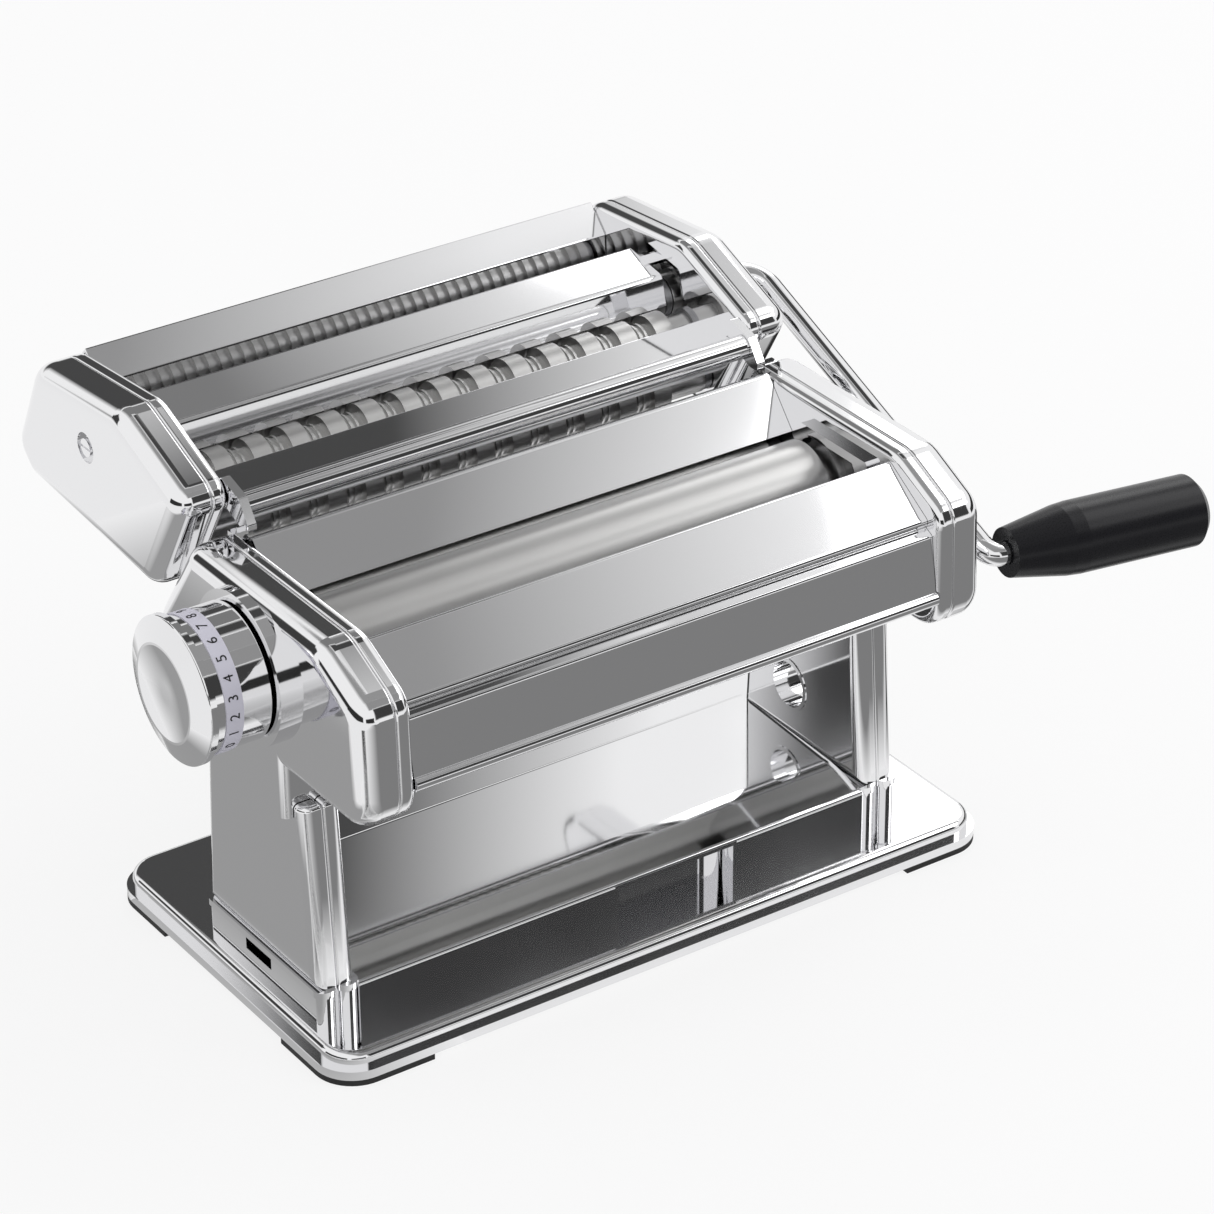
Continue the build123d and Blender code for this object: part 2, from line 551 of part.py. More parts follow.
# Front roller: a tube with two plugs, running on floating bushes round the eccentric axle
hub_end = GEAR_X0 + GEAR_WIDTH + 0.3
bush_r = AXLE_R + RUN_FIT + BUSH_WALL
front = rod(FRONT_Y, FRONT_Z, ROLLER_R, -HALF, HALF) + rod(FRONT_Y, FRONT_Z, HUB_R, HALF, hub_end)
front -= rod(FRONT_Y, FRONT_Z, ROLLER_R - ROLLER_WALL, -HALF + BUSH_LENGTH, HALF - BUSH_LENGTH)
front -= rod(FRONT_Y, FRONT_Z, bush_r + RUN_FIT, -HALF, -HALF + BUSH_LENGTH)
front -= rod(FRONT_Y, FRONT_Z, bush_r + RUN_FIT, HALF - BUSH_LENGTH, hub_end)
parts["front_roller"] = front
left_float = tube(FRONT_Y, FRONT_Z, bush_r, AXLE_R + RUN_FIT, -HALF + 0.3, -HALF + BUSH_LENGTH)
right_float = tube(FRONT_Y, FRONT_Z, bush_r, AXLE_R + RUN_FIT, hub_end - BUSH_LENGTH - 0.3, hub_end - 0.3)
parts["floating_bushes"] = [left_float, right_float]
axle_end = hub_end + 0.3
axle = rod(FRONT_Y, FRONT_Z, AXLE_R, -HALF - 0.8, axle_end)
axle += rod(KNOB_Y, KNOB_Z, AXLE_END_R, axle_end, CAP_FACE_X - 0.2)
axle += rod(KNOB_Y, KNOB_Z, AXLE_KNOB_R, COLLAR_X - 0.4, -HALF - 0.8)
axle += hexagon(KNOB_Y, KNOB_Z, KEY_FLATS, KEY_END_X, COLLAR_X - 0.4)
parts["eccentric_axle"] = axle
end_bush = tube(KNOB_Y, KNOB_Z, end_bush_r, AXLE_END_R + RUN_FIT, axle_end + 0.3, CAP_FACE_X)
plate_bush = tube(KNOB_Y, KNOB_Z, axle_bush_r, AXLE_KNOB_R + RUN_FIT, -SEAM_X + 0.5, -HALF - 1.4)
parts["axle_bushes"] = [plate_bush, end_bush]

# Knob
knob_top_x = KNOB_FACE_X - KNOB_RISE
barrel = turned(((knob_top_x, 0), (knob_top_x, KNOB_TOP_R), (KNOB_FACE_X, KNOB_FACE_R),
                 (KNOB_FACE_X + KNOB_FLANGE - 0.6, KNOB_FACE_R), (KNOB_FACE_X + KNOB_FLANGE, KNOB_BARREL_R),
                 (KNOB_BACK_X - 0.6, KNOB_BARREL_R), (KNOB_BACK_X, KNOB_BARREL_R - 0.6), (KNOB_BACK_X, 0)),
                KNOB_Y, KNOB_Z)
cavity = KNOB_BARREL_R - KNOB_WALL
barrel -= rod(KNOB_Y, KNOB_Z, cavity, KNOB_FACE_X + KNOB_FLOOR, KNOB_WEB_X)
barrel -= rod(KNOB_Y, KNOB_Z, cavity, KNOB_WEB_X + KNOB_WEB, KNOB_BACK_X)
barrel -= hexagon(KNOB_Y, KNOB_Z, KEY_FLATS + 0.14, KNOB_WEB_X, KNOB_WEB_X + KNOB_WEB)
barrel -= rod(KNOB_Y + PIN_CIRCLE_R, KNOB_Z, PIN_R + SEAT, KNOB_WEB_X, KNOB_WEB_X + KNOB_WEB)
barrel = fillet(rim(barrel, KNOB_FACE_X), KNOB_FACE_EDGE_R)
dish_mid_r = (KNOB_DISH_R + KNOB_FLAT_R) / 2
dish_line = Polyline((knob_top_x + KNOB_DISH, KNOB_FLAT_R), (knob_top_x + KNOB_DISH, 0), (knob_top_x - 1, 0),
                     (knob_top_x - 1, KNOB_DISH_R), (knob_top_x, KNOB_DISH_R))
dish_line += ThreePointArc((knob_top_x, KNOB_DISH_R), (knob_top_x + 0.75 * KNOB_DISH, dish_mid_r),
                           (knob_top_x + KNOB_DISH, KNOB_FLAT_R))
barrel -= Pos(0, KNOB_Y, KNOB_Z) * revolve(make_face(dish_line), Axis.X)
barrel -= tube(KNOB_Y, KNOB_Z, KNOB_FACE_R, KNOB_BARREL_R - RING_SEAT, RING_X0, RING_X0 + RING_WIDTH)
parts["knob"] = barrel
parts["number_ring"] = tube(KNOB_Y, KNOB_Z, KNOB_BARREL_R + RING_PROUD, KNOB_BARREL_R - RING_SEAT + SEAT,
                            RING_X0, RING_X0 + RING_WIDTH)
collar = tube(KNOB_Y, KNOB_Z, COLLAR_R, AXLE_KNOB_R + FREE, COLLAR_X, -CAP_FACE_X)
collar -= tube(KNOB_Y, KNOB_Z, PIN_CIRCLE_R + PIN_R + FREE, PIN_CIRCLE_R - PIN_R - FREE, COLLAR_X,
               COLLAR_X + TRACK_DEPTH)
parts["knob_collar"] = collar
parts["knob_spring"] = tube(KNOB_Y, KNOB_Z, SPRING_R, SPRING_R - SPRING_WALL, KNOB_WEB_X - SPRING_LENGTH, KNOB_WEB_X)
parts["index_pin"] = rod(KNOB_Y + PIN_CIRCLE_R, KNOB_Z, PIN_R, KNOB_WEB_X, PIN_TIP_X)
parts["knob_screw"] = rod(KNOB_Y, KNOB_Z, KEY_SCREW_R, KEY_END_X - KEY_SCREW, KEY_END_X)

# Cutter housings
cutter_points = (CUT_TOP_BACK, CUT_TOP_FRONT, CUT_NOSE, CUT_TOE, CUT_HEEL, CUT_BACK)
cutter_radii = (12.0, 14.0, 6.6, 8.0, 9.0, 9.0)
solid, gap = pan(cutter_points, cutter_radii, SEAM_X, PLATE_FACE_X, PLATE_EDGE_R, PLATE)
cutter_plate = solid - gap
for y, z in CUT_TIES:
    cutter_plate -= rod(y, z, TIE_STUD_R + SEAT, PLATE_FACE_X - 1, SEAM_X)
for y, z in (FINE, WIDE_LOW):
    cutter_plate -= rod(y, z, CUT_BUSH_R + SEAT, PLATE_FACE_X - 1, SEAM_X)
post = tube(SCREW_Y, SCREW_Z, POST_R, SCREW_R + SEAT, PLATE_FACE_X + PLATE, CAP_FACE_X - SHEET - DIMPLE)
left_cutter_plate = cutter_plate + post
right_cutter_plate = cutter_plate
for y, z in (DRIVE, WIDE):
    left_cutter_plate -= rod(y, z, CUT_BUSH_R + SEAT, PLATE_FACE_X - 1, SEAM_X)
    right_cutter_plate -= rod(y, z, CUT_STUB_BUSH_R + SEAT, PLATE_FACE_X - 1, SEAM_X)
parts["cutter_left_side_plate"] = mirrored(left_cutter_plate)
parts["cutter_right_side_plate"] = right_cutter_plate
solid, gap = pan(cutter_points, cutter_radii, SEAM_X, CAP_FACE_X, CAP_EDGE_R, SHEET)
cutter_cap = solid - gap
dimple_cup = rod(SCREW_Y, SCREW_Z, DIMPLE_R + SHEET, CAP_FACE_X - SHEET - DIMPLE, CAP_FACE_X)
dimple = rod(SCREW_Y, SCREW_Z, DIMPLE_R, CAP_FACE_X - DIMPLE, CAP_FACE_X + 1)
dimple += rod(SCREW_Y, SCREW_Z, SCREW_R + SEAT, SEAM_X, CAP_FACE_X)
parts["cutter_left_cap"] = mirrored(cutter_cap + dimple_cup - dimple)
right_cutter_cap = cutter_cap - rod(*DRIVE, ROD_R + 1.0, SEAM_X, CAP_FACE_X + 1)
parts["cutter_right_cap"] = right_cutter_cap - rod(*WIDE, ROD_R + 1.0, SEAM_X, CAP_FACE_X + 1)
screw = rod(SCREW_Y, SCREW_Z, SCREW_R, -CAP_FACE_X + DIMPLE, -PLATE_FACE_X - PLATE - 0.4)
screw += rod(SCREW_Y, SCREW_Z, SCREW_HEAD_R, -CAP_FACE_X, -CAP_FACE_X + DIMPLE)
screw -= block(-CAP_FACE_X, -CAP_FACE_X + 0.8, SCREW_Y - 3, SCREW_Y + 3, SCREW_Z - 0.4, SCREW_Z + 0.4)
parts["cap_screw"] = screw

# Cutter sheets: the roof has a tab at both ends that meets the side plates
def tabbed(sheet, end_x, y, z):
    tab = block(end_x - 2, PLATE_FACE_X, y - 3, y + 3, z - THIN / 2, z + THIN / 2)
    return sheet + tab + mirrored(tab)


parts["cutter_back_plate"] = bent_sheet(((117.0, 171.5), (114.8, 173.6), (101.5, 159.5), (100.8, 157.0)),
                                        (1.0, 1.5), THIN, -PLATE_FACE_X, PLATE_FACE_X)
roof_sheet = bent_sheet(((86.8, 165.4), (88.0, 168.6), (69.5, 165.6), (67.0, 156.0)), (0.9, 1.6), THIN,
                        -CUT_PLATE_END_X, CUT_PLATE_END_X)
parts["cutter_roof_plate"] = tabbed(roof_sheet, CUT_PLATE_END_X, 79.0, 167.1)
sill = bent_sheet(((51.0, 153.4), (50.0, 156.6), (RAIL_Y, RAIL_Z)), 0.9, THIN, -PLATE_FACE_X, PLATE_FACE_X)
for x0, x1 in ((-200, -RAIL_END_X), (RAIL_END_X, 200)):
    sill -= block(x0, x1, RAIL_Y - 5, HEAD_BACK_TOP_Y + 10, RAIL_Z - 10, RAIL_Z + 10)
sill += rod(RAIL_Y, RAIL_Z, RAIL_R, -RAIL_END_X, RAIL_END_X)
parts["cutter_front_plate"] = sill

# Hooks: flat tongues on the cutter's side plates that stand on the back corner of the head
hook_points = ((HEAD_BACK_TOP_Y + 9, 165.0), (HEAD_BACK_TOP_Y - 2, 162.0), (HEAD_BACK_TOP_Y - 7, HEAD_TOP_Z + 4),
               (HEAD_BACK_TOP_Y - 7, HEAD_TOP_Z + 1.6), (HEAD_BACK_TOP_Y - 3, HEAD_TOP_Z + 1.6),
               (HEAD_BACK_TOP_Y + 9, 157.0))
hook = along_x(outline(hook_points, 1.1), PLATE_FACE_X - HOOK_T, PLATE_FACE_X)
hook += block(PLATE_FACE_X - 0.05, SEAM_X - 0.5, HEAD_BACK_TOP_Y - 7, HEAD_BACK_TOP_Y - 3.6,
              HEAD_TOP_Z, HEAD_TOP_Z + 3)
parts["cutter_hooks"] = [hook, mirrored(hook)]


# Cutter rollers
def cutter_roller(axis, pitch, width, count, root_r, right_r, right_end):
    y, z = axis
    first = -pitch * (count - 1) / 2
    profile = [(-CUT_HALF, 0), (-CUT_HALF, root_r)]
    for i in range(count):
        x = first + pitch * i
        low = max(x - width / 2, -CUT_HALF + 0.5)
        high = min(x + width / 2, CUT_HALF - 0.5)
        profile += [(low, root_r), (low, CUT_R), (high, CUT_R), (high, root_r)]
    profile += [(CUT_HALF, root_r), (CUT_HALF, 0)]
    body = turned(profile, y, z) + rod(y, z, CUT_SHAFT_R, -PLATE_FACE_X - PLATE - 0.8, -CUT_HALF)
    return body + rod(y, z, right_r, CUT_HALF, right_end)


gear_end = GEAR_X0 + GEAR_WIDTH
parts["fine_roller_rear"] = cutter_roller(FINE, FINE_PITCH, FINE_RING, FINE_COUNT, FINE_ROOT_R,
                                          CUT_SHAFT_R, gear_end)
driven = cutter_roller(DRIVE, FINE_PITCH, FINE_RING, FINE_COUNT - 1, FINE_ROOT_R, CUT_STUB_R, SOCKET_END_X)
parts["fine_roller_front"] = driven - hexagon(*DRIVE, SOCKET_FLATS, SOCKET_END_X - SOCKET_DEPTH, SOCKET_END_X)
driven = cutter_roller(WIDE, WIDE_PITCH, WIDE_BLOCK, WIDE_COUNT, WIDE_ROOT_R, CUT_STUB_R, SOCKET_END_X)
parts["wide_roller_rear"] = driven - hexagon(*WIDE, SOCKET_FLATS, SOCKET_END_X - SOCKET_DEPTH, SOCKET_END_X)
parts["wide_roller_front"] = cutter_roller(WIDE_LOW, WIDE_PITCH, WIDE_BLOCK, WIDE_COUNT - 1, WIDE_ROOT_R,
                                           CUT_SHAFT_R, gear_end)
bushes = []
for axis in (FINE, DRIVE, WIDE, WIDE_LOW):
    bush = tube(*axis, CUT_BUSH_R, CUT_SHAFT_R + RUN_FIT, CUT_HALF + FREE, PLATE_FACE_X + PLATE + 0.4)
    bushes.append(mirrored(bush))
    if axis in (DRIVE, WIDE):
        bush = tube(*axis, CUT_STUB_BUSH_R, CUT_STUB_R + RUN_FIT, CUT_HALF + FREE, PLATE_FACE_X + PLATE + 0.4)
    bushes.append(bush)
parts["cutter_bushes"] = bushes


def cutter_gear(axis, phase, bore, x0):
    return gear(*axis, CUT_GEAR_TEETH, CUT_GEAR_TIP_R, CUT_GEAR_ROOT_R, CUT_GEAR_TIP_W, CUT_GEAR_ROOT_W, phase,
                bore + SEAT, x0, x0 + CUT_GEAR_WIDTH)


# One gear of each pair has a tooth on the line of centres, where the other has a space.
# The two pairs run in separate planes, because they are driven apart.
half_tooth = 180.0 / CUT_GEAR_TEETH
fine_x = gear_end - CUT_GEAR_WIDTH
parts["fine_gear_front"] = cutter_gear(DRIVE, FINE_TURN, CUT_STUB_R, fine_x)
parts["fine_gear_rear"] = cutter_gear(FINE, FINE_TURN + 180 + half_tooth, CUT_SHAFT_R, fine_x)
parts["wide_gear_rear"] = cutter_gear(WIDE, WIDE_LOW_TURN, CUT_STUB_R, GEAR_X0)
parts["wide_gear_front"] = cutter_gear(WIDE_LOW, WIDE_LOW_TURN + 180 + half_tooth, CUT_SHAFT_R, GEAR_X0)

cutter_rods = []
cutter_nuts = []
for y, z in CUT_TIES:
    tie = rod(y, z, TIE_R, -PLATE_FACE_X, PLATE_FACE_X)
    tie += rod(y, z, TIE_STUD_R, -SEAM_X + 0.6, SEAM_X - 0.6)
    cutter_rods.append(tie)
    for sign in (-1, 1):
        x0 = sign * (PLATE_FACE_X + PLATE)
        nut = hexagon(y, z, NUT_FLATS, x0, x0 + sign * NUT_T)
        cutter_nuts.append(nut - rod(y, z, TIE_STUD_R + SEAT, -SEAM_X, SEAM_X))
parts["cutter_tie_rods"] = cutter_rods
parts["cutter_tie_nuts"] = cutter_nuts

# Crank: one bent rod with a hex tip, and a grip that turns on its splayed end
tip_x = SOCKET_END_X - SOCKET_DEPTH + 1.0
rod_x = SOCKET_END_X + 0.6
arm_dir = Vector(0, math.cos(math.radians(ARM_TURN)), math.sin(math.radians(ARM_TURN)))
elbow = Vector(ARM_X, *DRIVE)
knuckle = elbow + arm_dir * ARM_LENGTH
splay = math.radians(SPLAY)
spindle_dir = Vector(math.cos(splay), 0, 0) + arm_dir * math.sin(splay)
grip_start = knuckle + spindle_dir * GRIP_START
shoulder = knuckle + spindle_dir * (GRIP_START - 0.6)
path = FilletPolyline(Vector(rod_x, *DRIVE), elbow, knuckle, shoulder, radius=(BEND_R, 5.0))
crank = sweep(Plane(path @ 0, z_dir=path % 0) * Circle(ROD_R), path=path)
crank += hexagon(*DRIVE, HEX_FLATS, tip_x, rod_x)
spindle_plane = Plane(shoulder, z_dir=spindle_dir)
spindle_length = GRIP_LENGTH + 0.6
crank += extrude(spindle_plane * Circle(SPINDLE_R), amount=spindle_length)
parts["crank_rod"] = crank
grip_plane = Plane(grip_start, z_dir=spindle_dir)
grip_profile = Polyline((SPINDLE_R + RUN_FIT, 0), (GRIP_NECK_R, 0), (GRIP_BELLY_R - 0.4, GRIP_CONE),
                        (GRIP_BELLY_R, GRIP_CONE + 5), (GRIP_BELLY_R, GRIP_LENGTH - GRIP_CHAMFER),
                        (GRIP_BELLY_R - GRIP_CHAMFER, GRIP_LENGTH), (SPINDLE_R + RUN_FIT, GRIP_LENGTH), close=True)
grip = revolve(Plane.XZ * make_face(grip_profile), Axis.Z)
parts["grip"] = grip_plane * grip
cap_plane = Plane(grip_start + spindle_dir * GRIP_LENGTH, z_dir=spindle_dir)
parts["grip_cap"] = extrude(Plane(shoulder + spindle_dir * spindle_length, z_dir=spindle_dir) * Circle(GRIP_CAP_R),
                            amount=GRIP_CAP)

os.makedirs("parts", exist_ok=True)
for name, shape in parts.items():
    solids = []
    for item in shape if isinstance(shape, list) else [shape]:
        solids += list(item.solids())
    node = solids[0] if len(solids) == 1 else Compound(children=solids)
    node.label = name
    export_step(node, f"parts/{name}.step")
    size = node.bounding_box()
    print(name, len(solids), [round(v, 1) for v in (size.min.X, size.min.Y, size.min.Z, size.max.X, size.max.Y, size.max.Z)])
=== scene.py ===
# %% [markdown]
# This lesson dresses a chrome pasta machine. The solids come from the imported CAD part, in metres, so the
# script gives them finishes, adds the printed numbers, the thin ridges and one folded sheet, and lights
# the set.

# %% Load the machine
import json
import math

import bpy
from mathutils import Matrix, Vector


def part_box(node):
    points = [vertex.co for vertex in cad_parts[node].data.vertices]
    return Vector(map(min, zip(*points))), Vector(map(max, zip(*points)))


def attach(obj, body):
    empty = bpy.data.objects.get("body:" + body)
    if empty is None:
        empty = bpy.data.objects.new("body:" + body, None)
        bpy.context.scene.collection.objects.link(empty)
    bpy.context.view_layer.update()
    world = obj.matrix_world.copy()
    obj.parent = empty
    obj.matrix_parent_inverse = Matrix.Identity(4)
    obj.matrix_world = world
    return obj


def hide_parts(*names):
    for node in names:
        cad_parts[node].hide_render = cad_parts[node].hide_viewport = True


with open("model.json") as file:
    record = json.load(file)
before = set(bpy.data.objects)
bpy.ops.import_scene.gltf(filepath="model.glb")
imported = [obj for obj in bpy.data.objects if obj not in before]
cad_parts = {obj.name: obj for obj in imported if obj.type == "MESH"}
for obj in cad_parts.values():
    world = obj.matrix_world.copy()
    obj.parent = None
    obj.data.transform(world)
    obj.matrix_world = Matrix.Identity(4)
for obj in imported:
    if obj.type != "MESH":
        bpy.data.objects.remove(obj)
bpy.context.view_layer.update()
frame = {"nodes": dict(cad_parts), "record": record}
MM = 0.001
slot_of = {entry["node"]: entry["material_slot"] for entry in frame["record"]["subparts"]}

# %% [markdown]
# Shader maths reads best as plain formulas. A small class holds one output socket, and its operators add
# Math nodes behind the scenes. Every other node is made by one method that sets the node up, then fills
# or links its sockets.


# %% Shader formulas
class Wire:
    """One output socket of a node tree, with arithmetic."""

    def __init__(self, finish, socket):
        self.finish = finish
        self.socket = socket

    def maths(self, operation, first, second):
        return self.finish.node("ShaderNodeMath", {"operation": operation}, {0: first, 1: second})

    def __add__(self, other):
        return self.maths("ADD", self, other)

    def __radd__(self, other):
        return self.maths("ADD", other, self)

    def __rsub__(self, other):
        return self.maths("SUBTRACT", other, self)

    def __mul__(self, other):
        return self.maths("MULTIPLY", self, other)

    def __rmul__(self, other):
        return self.maths("MULTIPLY", other, self)


class Finish:
    """A material or world, and the one way to add nodes to it."""

    def __init__(self, block):
        block.use_nodes = True
        self.tree = block.node_tree
        self.tree.nodes.clear()

    def node(self, kind, settings, inputs, output=0):
        made = self.tree.nodes.new(kind)
        for name, value in settings.items():
            setattr(made, name, value)
        for name, value in inputs.items():
            if isinstance(value, Wire):
                self.tree.links.new(value.socket, made.inputs[name])
            else:
                made.inputs[name].default_value = value
        return Wire(self, made.outputs[output]) if made.outputs else None

    def ramp(self, factor, stops):
        made = self.tree.nodes.new("ShaderNodeValToRGB")
        elements = made.color_ramp.elements
        while len(elements) < len(stops):
            elements.new(1.0)
        for element, (place, colour) in zip(elements, stops):
            element.position = place
            element.color = (*colour, 1.0)
        self.tree.links.new(factor.socket, made.inputs["Fac"])
        return Wire(self, made.outputs["Color"])


def new_material(name):
    material = bpy.data.materials.new(name)
    return material, Finish(material)


def close_material(finish, **sockets):
    """Ends a material in one Principled shader."""
    inputs = {name.replace("_", " "): value for name, value in sockets.items()}
    shader = finish.node("ShaderNodeBsdfPrincipled", {}, inputs)
    finish.node("ShaderNodeOutputMaterial", {}, {"Surface": shader})


# %% [markdown]
# Polished chrome is a mirror with a slightly uneven shine: handling leaves faint cloudy patches. A slow
# noise moves the roughness by a hair, which breaks up reflections without painting any light. Turned
# steel also keeps the fine rings of the lathe tool, so those finishes get a bump that runs along X, the
# axis of every roller here. The wave texture has a fixed length at scale 1, which sets their pitch.

# %% Metal finishes
LATHE_PITCH = 1.2 * MM
LATHE_DEPTH = 0.02 * MM
WAVE_LENGTH = 0.314


def metal(name, colour, roughness, cloud_size, cloud, lathe=0.0):
    material, finish = new_material(name)
    place = finish.node("ShaderNodeTexCoord", {}, {}, "Object")
    noise = finish.node("ShaderNodeTexNoise", {}, {"Vector": place, "Scale": 1 / cloud_size, "Detail": 2.0})
    sockets = {"Base_Color": (*colour, 1.0), "Metallic": 1.0, "Roughness": roughness + cloud * noise}
    if lathe:
        rings = finish.node("ShaderNodeTexWave", {"bands_direction": "X"},
                            {"Vector": place, "Scale": WAVE_LENGTH / LATHE_PITCH, "Distortion": 1.0}, "Fac")
        sockets["Normal"] = finish.node("ShaderNodeBump", {},
                                        {"Height": rings, "Strength": lathe, "Distance": LATHE_DEPTH})
    close_material(finish, **sockets)
    return material


polished_chrome = metal("polished_chrome", (0.83, 0.83, 0.84), 0.03, 0.05, 0.05)
turned_steel = metal("turned_steel", (0.5, 0.497, 0.492), 0.27, 0.02, 0.08, lathe=0.06)
plain_steel = metal("plain_steel", (0.55, 0.55, 0.56), 0.28, 0.02, 0.10)
bush_steel = metal("bush_steel", (0.35, 0.35, 0.36), 0.35, 0.02, 0.10, lathe=0.2)
print("metals ready")

# %% [markdown]
# The grip is smooth moulded plastic, the pads are matt rubber, the number band is pale printed film and
# the scrapers are nylon. Moulded things are never quite even: a fine grain from the tool lifts the
# surface by microns, and the tone drifts a little, so each finish has a grain size and a drift.

# %% Plastic and rubber finishes
DRIFT_SCALE = 40.0
GRAIN_DEPTH = 0.05 * MM
GRAIN_DULLS = 0.08


def moulded(name, colour, roughness, shine, grain_size, grain, drift):
    material, finish = new_material(name)
    place = finish.node("ShaderNodeTexCoord", {}, {}, "Object")
    cloud = finish.node("ShaderNodeTexNoise", {}, {"Vector": place, "Scale": DRIFT_SCALE, "Detail": 3.0})
    dark = [channel * (1 - drift) for channel in colour]
    light = [channel * (1 + drift) for channel in colour]
    tone = finish.ramp(cloud, ((0.3, dark), (0.7, light)))
    speck = finish.node("ShaderNodeTexNoise", {}, {"Vector": place, "Scale": 1 / grain_size, "Detail": 1.0})
    relief = finish.node("ShaderNodeBump", {},
                         {"Height": speck, "Strength": grain, "Distance": GRAIN_DEPTH})
    close_material(finish, Base_Color=tone, Roughness=roughness + GRAIN_DULLS * speck,
                   Specular_IOR_Level=shine, Normal=relief)
    return material


grip_plastic = moulded("grip_plastic", (0.010, 0.010, 0.012), 0.24, 0.22, 0.5 * MM, 0.10, 0.08)
foot_rubber = moulded("foot_rubber", (0.02, 0.02, 0.02), 0.65, 0.3, 0.4 * MM, 0.5, 0.15)
ring_film = moulded("ring_film", (0.60, 0.59, 0.67), 0.35, 0.4, 0.8 * MM, 0.03, 0.03)
nylon = moulded("nylon", (0.78, 0.78, 0.76), 0.45, 0.5, 0.6 * MM, 0.2, 0.04)
black_print = moulded("black_print", (0.012, 0.012, 0.014), 0.45, 0.3, 0.3 * MM, 0.05, 0.1)
print("plastics ready")

# %% [markdown]
# The part's record gives every node a material slot. One table turns slots into finishes.

# %% Put the finishes on the CAD nodes
finish_of_slot = {
    "chrome_steel": polished_chrome,
    "foot_rubber": foot_rubber,
    "grip_plastic": grip_plastic,
    "ring_plastic": ring_film,
    "roller_steel": turned_steel,
    "plain_steel": plain_steel,
    "bush_steel": bush_steel,
    "scraper_plastic": nylon,
}
for name, node in frame["nodes"].items():
    material = finish_of_slot[slot_of[name]]
    node.data.materials.clear()
    node.data.materials.append(material)
print("dressed", len(frame["nodes"]), "nodes")

# %% [markdown]
# The band round the knob carries one number for each thickness. Blender's text gives the flat outlines;
# each is made a mesh and then wrapped on the band, so the ink follows the curve and turns with the knob.

# %% Flat digits
DIGIT_SIZE = 4.6 * MM
DIGIT_STEP = math.radians(16.0)
REST_ANGLE = math.radians(135.0)
REST_DIGIT = 5
INK = 0.04 * MM


def plain_object(name, mesh, material):
    mesh.materials.clear()
    mesh.materials.append(material)
    piece = bpy.data.objects.new(name, mesh)
    bpy.context.scene.collection.objects.link(piece)
    return piece


def box_middle(node):
    low, high = (Vector(corner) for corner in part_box(node))
    return (low + high) / 2, (high.z - low.z) / 2


def flat_digit(digit):
    curve = bpy.data.curves.new("digit", "FONT")
    curve.body = str(digit)
    curve.size = DIGIT_SIZE
    curve.align_x = "CENTER"
    curve.align_y = "CENTER"
    curve.extrude = INK
    holder = bpy.data.objects.new("digit", curve)
    bpy.context.scene.collection.objects.link(holder)
    bpy.context.view_layer.update()
    mesh = bpy.data.meshes.new_from_object(holder.evaluated_get(bpy.context.evaluated_depsgraph_get()))
    bpy.data.objects.remove(holder)
    return mesh


# %% Numbers on the knob band
band, band_r = box_middle("number_ring")
verts = []
faces = []
for digit in range(10):
    angle = REST_ANGLE + (REST_DIGIT - digit) * DIGIT_STEP
    outline = flat_digit(digit)
    first = len(verts)
    for vert in outline.vertices:
        across, up, out = vert.co
        turn = angle - across / band_r
        reach = band_r + out + INK
        verts.append((band.x - up, band.y + reach * math.cos(turn), band.z + reach * math.sin(turn)))
    faces += [[first + i for i in face.vertices] for face in outline.polygons]
ink_mesh = bpy.data.meshes.new("ring_digits")
ink_mesh.from_pydata(verts, [], faces)
ring_digits = plain_object("ring_digits", ink_mesh, black_print)
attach(ring_digits, "knob")
print("digits:", len(faces), "faces")

# %% [markdown]
# Between the blocks of the wide cutting rollers the neck keeps thin ridges. They repeat along the roller,
# which is work for Geometry Nodes: a line of points, a short cylinder on each, and the realized mesh.
# Each roller gets its own copy of the result, because each turns on its own body.

# %% Ridge tree
RIDGE_R = 6.2 * MM
RIDGE_WIDTH = 0.8 * MM
RIDGE_GAP = 2.2 * MM
RIDGE_SIDES = 48
BLOCK_PITCH = 13.6 * MM


